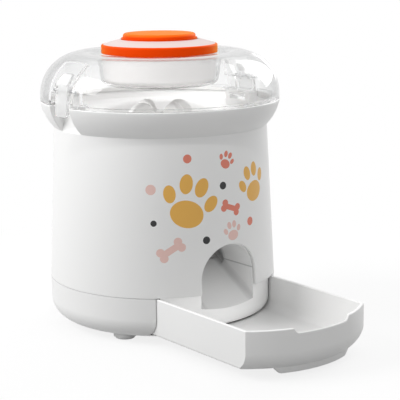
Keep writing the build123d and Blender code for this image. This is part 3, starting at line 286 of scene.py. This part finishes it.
# Print on the body's front: paws, bones and dots. Places are millimetres round the body from the
# front, to the right, and up from the ground; sizes are half widths and half heights.
printed = {
    "radius": 90.0, "millimetres": 1000.0,
    "inks": {
        "ochre": (0.80, 0.44, 0.085, 1.0), "pink": (0.80, 0.55, 0.50, 1.0),
        "coral": (0.74, 0.22, 0.15, 1.0), "black": (0.012, 0.012, 0.013, 1.0),
    },
    "paws": [
        {"ink": "ochre", "place": (-35.0, 112.0), "size": 24.0, "turn": -16.0},
        {"ink": "ochre", "place": (28.0, 121.0), "size": 18.0, "turn": 14.0},
        {"ink": "pink", "place": (2.0, 87.0), "size": 9.0, "turn": 8.0},
        {"ink": "coral", "place": (-2.0, 143.0), "size": 8.0, "turn": -24.0},
    ],
    "bones": [
        {"ink": "pink", "place": (-50.0, 77.0), "size": 11.0, "turn": 32.0},
        {"ink": "coral", "place": (1.0, 106.0), "size": 9.0, "turn": -20.0},
    ],
    "dots": [
        {"ink": "black", "place": (-22.0, 83.0), "size": 3.0},
        {"ink": "black", "place": (-63.0, 98.0), "size": 2.4},
        {"ink": "black", "place": (-6.0, 124.0), "size": 3.0},
        {"ink": "coral", "place": (-36.0, 147.0), "size": 3.4},
        {"ink": "coral", "place": (22.0, 92.0), "size": 3.4},
        {"ink": "pink", "place": (-65.0, 124.0), "size": 4.0},
    ],
}

# Each motif is ovals, as place, size and tilt, one unit from its middle to its edge.
pawPads = [  # the heel pad, then the four toes
    ((0.0, -0.33), (0.56, 0.44), 0.0),
    ((-0.72, 0.16), (0.2, 0.29), 24.0), ((0.72, 0.16), (0.2, 0.29), -24.0),
    ((-0.27, 0.6), (0.22, 0.32), 8.0), ((0.27, 0.6), (0.22, 0.32), -8.0),
]
boneBar = (0.72, 0.24)        # half length and half height of the bar between the knobs
boneKnobs = [
    ((x, y), (0.3, 0.3), 0.0)
    for x in (-boneBar[0], boneBar[0]) for y in (-boneBar[1], boneBar[1])
]
dotDisc = [((0.0, 0.0), (1.0, 1.0), 0.0)]


def motif(paint, flat, ink, ovals, bar=None):
    # one printed motif, as a mask that is 1 inside its ovals and its bar
    settings = {"vector_type": "TEXTURE"}
    local = paint.add("Mapping", settings, {
        "Vector": flat, "Location": (*ink["place"], 0.0), "Scale": [ink["size"]] * 3,
        "Rotation": (0.0, 0.0, math.radians(ink.get("turn", 0.0))),
    })
    nearest = None
    for place, size, tilt in ovals:
        oval = paint.add("Mapping", settings, {
            "Vector": local, "Location": (*place, 0.0), "Scale": (*size, 1.0),
            "Rotation": (0.0, 0.0, math.radians(tilt)),
        })
        reach = paint.add("VectorMath", {"operation": "LENGTH"}, {0: oval}, out="Value")
        nearest = reach if nearest is None else nearest.least(reach)
    if bar:
        x, y, _ = paint.split(local)
        nearest = nearest.least((abs(x) / bar[0]).most(abs(y) / bar[1]))
    return nearest.under(1.0)


def printedShell(name, look):
    # the shell's white plastic with the print laid flat round the body's front
    paint = mouldedPlastic(name, look)
    x, y, z = paint.split(paint.place())
    around = x.angleTo(axisY - y) * printed["radius"]
    height = z * printed["millimetres"]
    flat = paint.add("CombineXYZ", values={"X": around, "Y": height, "Z": 0.0})
    for kind, ovals, bar in (
            ("paws", pawPads, None), ("bones", boneKnobs, boneBar), ("dots", dotDisc, None)):
        for ink in printed[kind]:
            paint.recolour(motif(paint, flat, ink, ovals, bar), printed["inks"][ink["ink"]])
    return paint


# Places in metres in the food chute, for the painted shade in its creases and the painted
# light on its nose.
chute = {
    "half": 0.026, "seam": 0.0535, "rampY": axisY - 0.0495, "rampZ": 0.0492,
    "slope": math.tan(math.radians(29.5)), "ductY": axisY - 0.052, "ductZ": 0.0545,
    "cornerX": 0.019, "cornerFade": 0.007, "cornerHeight": 0.006, "seamHalf": 0.0006,
    "sideSlack": 0.0002, "rampSlack": 0.0003,
    "noseX": 0.0476, "noseZ": 0.0195, "noseCorner": 0.0072,
    "glowY": axisY - 0.06, "glowZ": 0.0392, "turnX": 0.002, "turnFade": 0.034,
}
# the chute's white is paler than the shell's, as painted light on the nose and in the doorway
chuteWhite = {
    **whiteShell, "colour": (0.98, 0.98, 0.975, 1.0),
    # crease, inside and duct are amounts of painted shade
    "crease": 0.5, "inside": 0.03, "duct": 0.18, "glow": 0.12,
    # painted shade colours: the first for the creases, passage, duct and seam line, the second
    # along the nose's edge
    "jointAndShade": (0.25, 0.25, 0.25, 1.0), "gap": (0.05, 0.05, 0.05, 1.0),
    # glow is the strength of painted light on the nose, between these two colours
    "unlit": (0.0, 0.0, 0.0, 1.0), "lit": (1.0, 1.0, 1.0, 1.0),
}


def chuteShell(name, look):
    # the shell's plastic, with painted light on the nose, painted shade in the chute's creases,
    # over its passage, deep in its duct and along the nose's edge, and a dark seam line inside
    paint = mouldedPlastic(name, look)
    x, y, z = paint.split(paint.place())
    overRamp = z - (y - chute["rampY"]) * chute["slope"] - chute["rampZ"]
    side = abs(x).rise(chute["cornerX"], chute["cornerFade"])
    corner = (1.0 - abs(overRamp) / chute["cornerHeight"]).most(0.0) * side
    joint = abs(z - chute["seam"]).under(chute["seamHalf"])
    between = abs(x).under(chute["half"] + chute["sideSlack"])
    inside = between * overRamp.over(-chute["rampSlack"])
    # painted shade in the ramp's creases and over the passage, with the dark seam line; then deep
    # in the duct
    shade = (corner.most(joint) * look["crease"]).most(look["inside"]) * inside
    shade = shade.most(y.over(chute["ductY"]) * z.over(chute["ductZ"]) * look["duct"])
    # painted shade in a band along the nose's edge, where it meets the bowl
    besideX = (abs(x) - chute["noseX"]).most(0.0)
    besideZ = (chute["noseZ"] - z).most(0.0)
    edge = (besideX * besideX + besideZ * besideZ).power(0.5).over(chute["noseCorner"])
    paint.recolour(shade, look["jointAndShade"])
    paint.recolour(edge, look["gap"])
    # painted light: the nose glows faintly, outside the passage and away from its edge, though it
    # is no lamp
    turned = x.rise(chute["turnX"], chute["turnFade"])
    onNose = y.under(chute["glowY"]) * z.under(chute["glowZ"])
    lit = (1.0 - inside) * (1.0 - edge) * onNose * (1.0 - turned)
    glow = paint.blendColours(lit, look["unlit"], look["lit"])
    paint.fill(paint.shader, {"Emission Color": glow, "Emission Strength": look["glow"]})
    return paint


seam = {"height": 0.0389, "half": 0.00036, "colour": (0.6, 0.6, 0.6, 1.0)}


def seamLine(paint):
    # a fine grey line where the body's shell stands on the base
    height = paint.split(paint.place())[2]
    paint.recolour(abs(height - seam["height"]).under(seam["half"]), seam["colour"])
    return paint


# a paler orange on the pad's top, as painted light from above
padTopLight = {"height": 0.2336, "fade": 0.0022, "colour": (0.90, 0.125, 0.008, 1.0)}


def padPlastic(name, look):
    # the pad's orange, with painted light on its flat top
    paint = mouldedPlastic(name, look)
    height = paint.split(paint.place())[2]
    paint.recolour(height.rise(padTopLight["height"], padTopLight["fade"]), padTopLight["colour"])
    return paint


# painted highlight: white along the top of the bowl's rim
rimHighlight = {"height": 0.0379, "colour": (1.0, 1.0, 1.0, 1.0)}


def rimmedShell(name, look):
    # the bowl's plastic, with a painted highlight along its rim
    paint = mouldedPlastic(name, look)
    height = paint.split(paint.place())[2]
    paint.recolour(height.over(rimHighlight["height"]), rimHighlight["colour"])
    return paint


finishes = {
    "white_shell": mouldedPlastic("whiteShell", whiteShell),
    "white_inner": mouldedPlastic("whiteInner", whiteInner),
    "clear_plastic": clearPlastic("clearPlastic", clear),
    "button_white": mouldedPlastic("warmWhite", warmWhite),
    "button_orange": mouldedPlastic("orangePlastic", orange),
    "foot_rubber": mouldedPlastic("footRubber", footGrey),
    "seal_rubber": mouldedPlastic("sealRubber", whiteInner),
    "steel": brightMetal("brightSteel", steel),
    "bush_brass": brightMetal("bushBrass", brass),
    "gearbox_grey": mouldedPlastic("darkPlastic", darkPlastic),
    "board_green": mouldedPlastic("boardGreen", boardGreen),
    "cell_sleeve": mouldedPlastic("cellSleeve", cellSleeve),
}
print("materials made:", len(finishes))


def deselectAll():
    if bpy.context.object and bpy.context.object.mode != "OBJECT":
        bpy.ops.object.mode_set(mode="OBJECT")
    bpy.ops.object.select_all(action="DESELECT")


def paintPiece(piece, paint):
    piece.data.materials.clear()
    piece.data.materials.append(paint.material)


slotOf = {row["node"]: row["material_slot"] for row in frame["record"]["subparts"]}
bodies = frame["record"]["behaviour"]["bodies"]
bodyOf = {node: body for body, names in bodies.items() for node in names}
for nodeName, piece in nodes.items():
    paintPiece(piece, finishes[slotOf[nodeName]])

# finishes of single pieces, in place of the one that their slot gives
ownFinish = {
    "body_shell": seamLine(printedShell("printedShell", whiteShell)),
    "button_bezel": mouldedPlastic("bezelWhite", bezelWhite),
    "latch_left": clearPlastic("milkyPlastic", milky),
    "chute_base": chuteShell("chuteShell", chuteWhite),
    "base_shell": seamLine(mouldedPlastic("baseShell", whiteShell)),
    "press_pad": padPlastic("padPlastic", padOrange),
    "bowl": rimmedShell("bowlShell", bowlWhite),
}
ownFinish["latch_right"] = ownFinish["latch_left"]
ownFinish["chute_hood"] = ownFinish["chute_base"]

smoothing = {"angle": 28.0, "merge": 0.000002}        # degrees, metres


def smoothCopy(nodeName, rides=True):
    # a merged copy of a CAD node with soft shading, which then stands for the node
    deselectAll()
    source = nodes[nodeName]
    bpy.context.view_layer.objects.active = source
    source.select_set(True)
    bpy.ops.object.duplicate()
    piece = bpy.context.object
    piece.name = nodeName + "Finished"
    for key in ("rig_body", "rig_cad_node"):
        del piece[key]
    bpy.ops.object.parent_clear(type="CLEAR_KEEP_TRANSFORM")
    bpy.ops.object.mode_set(mode="EDIT")
    bpy.ops.mesh.customdata_custom_splitnormals_clear()
    bpy.ops.mesh.select_all(action="SELECT")
    bpy.ops.mesh.remove_doubles(threshold=smoothing["merge"])
    bpy.ops.object.mode_set(mode="OBJECT")
    bpy.ops.object.shade_smooth_by_angle(angle=math.radians(smoothing["angle"]))
    if rides:
        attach(piece, bodyOf[nodeName])
    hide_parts(nodeName)
    if nodeName in ownFinish:
        paintPiece(piece, ownFinish[nodeName])
    return piece


shown = [
    "base_shell", "body_shell", "hopper_bowl", "bowl", "chute_base", "chute_hood", "lid_dome",
    "latch_left", "latch_right", "button_base", "button_housing", "button_ring", "button_bezel",
    "press_pad", "agitator", "battery_cover", "power_button",
]
for nodeName in shown:
    smoothCopy(nodeName)

# the return spring shortens between its cup and the pad as the pad is pressed; here it is a
# still copy that rides with no body
spring = smoothCopy("return_spring", rides=False)
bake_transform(spring)
print("pieces made:", len(shown) + 1)


def whiteInView(tree, shader, share=1.0):
    # white wherever the camera, a gloss or a clear piece looks at it; the part that the share
    # leaves keeps the object's shadow
    rays = tree.nodes.new("ShaderNodeLightPath")
    seen = Wire(rays.outputs["Is Camera Ray"])
    for kind in ("Is Glossy Ray", "Is Transmission Ray"):
        seen = seen.most(Wire(rays.outputs[kind]))
    seen = seen * share
    glow = tree.nodes.new("ShaderNodeEmission")
    mix = tree.nodes.new("ShaderNodeMixShader")
    tree.links.new(seen.socket, mix.inputs[0])
    tree.links.new(shader, mix.inputs[1])
    tree.links.new(glow.outputs[0], mix.inputs[2])
    return mix.outputs[0]


ground = {
    "size": 8.0, "roughness": 0.9,
    "lighting": (0.38, 0.38, 0.38, 1.0),        # what it throws up on the object
    "seen": (0.95, 0.95, 0.95, 1.0),
    "nearShare": 0.82, "addedShare": 0.18, "riseFrom": 0.22, "riseLength": 0.2,
}
deselectAll()
bpy.ops.mesh.primitive_plane_add(size=ground["size"], location=(0, 0, 0))
floor = bpy.context.object
floor.name = "floor"
floorPaint = Finish("floorPaint", Roughness=ground["roughness"])
floorTree = floorPaint.tree
toCamera = Wire(floorTree.nodes.new("ShaderNodeLightPath").outputs["Is Camera Ray"])
tone = floorPaint.blendColours(toCamera, ground["lighting"], ground["seen"])
floorPaint.fill(floorPaint.shader, {"Base Color": tone})
away = floorPaint.add("VectorMath", {"operation": "LENGTH"}, {0: floorPaint.place()}, out="Value")
share = away.rise(ground["riseFrom"], ground["riseLength"]) * ground["addedShare"]
share = share + ground["nearShare"]
floorGlow = whiteInView(floorTree, floorPaint.shader.outputs[0], share)
floorTree.links.new(floorGlow, floorTree.nodes["Material Output"].inputs["Surface"])
floor.data.materials.append(floorPaint.material)

studioLight = 0.63
world = bpy.data.worlds.new("studio")
bpy.context.scene.world = world
world.use_nodes = True
worldTree = world.node_tree
backdrop = worldTree.nodes["Background"]
backdrop.inputs["Color"].default_value = (1, 1, 1, 1)
backdrop.inputs["Strength"].default_value = studioLight
worldGlow = whiteInView(worldTree, backdrop.outputs[0])
worldTree.links.new(worldGlow, worldTree.nodes["World Output"].inputs["Surface"])

lamps = {
    "keyLamp": {"place": (-1.15, 0.58, 0.93), "aim": (0, 0.03, 0.11), "power": 14.2, "size": 0.8},
    "fillLamp": {"place": (0.98, 0.2, 0.6), "aim": (0, 0.03, 0.16), "power": 3.9, "size": 0.6},
    "lidLamp": {
        "place": (-0.20, -0.25, 0.80), "aim": (0, 0.05, 0.205), "power": 10.8, "size": 0.05,
        "cone": 16.0, "softness": 0.35,
    },
}
for lampName, lamp in lamps.items():
    bpy.ops.object.light_add(type="SPOT" if "cone" in lamp else "AREA", location=lamp["place"])
    light = bpy.context.object
    light.name = lampName
    light.data.energy = lamp["power"]
    if "cone" in lamp:
        light.data.shadow_soft_size = lamp["size"]
        light.data.spot_size = math.radians(lamp["cone"])
        light.data.spot_blend = lamp["softness"]
        light.visible_glossy = False        # no hot spot on the lid or through it
        light.visible_transmission = False
    else:
        light.data.size = lamp["size"]
    aim = Vector(lamp["aim"]) - Vector(lamp["place"])
    light.rotation_euler = aim.to_track_quat("-Z", "Y").to_euler()

camera = {
    "place": (-0.620857, -0.805232, 0.3112), "forward": (0.59909332, 0.77586246, -0.19779951),
    "roll": -0.5576, "lens": 116.68, "sensor": 36.0,
}
bpy.ops.object.camera_add(location=camera["place"])
eye = bpy.context.object
eye.name = "photoCamera"
forward = Vector(camera["forward"]).normalized()
right = forward.cross(Vector((0, 0, 1))).normalized()
up = right.cross(forward)
roll = math.radians(camera["roll"])
side = math.cos(roll) * right + math.sin(roll) * up
head = math.cos(roll) * up - math.sin(roll) * right
eye.rotation_euler = Matrix((side, head, -forward)).transposed().to_euler()
eye.data.lens = camera["lens"]
eye.data.sensor_width = camera["sensor"]
bpy.context.scene.camera = eye
bpy.context.scene.view_settings.view_transform = "Standard"
print("floor, lights and camera placed")
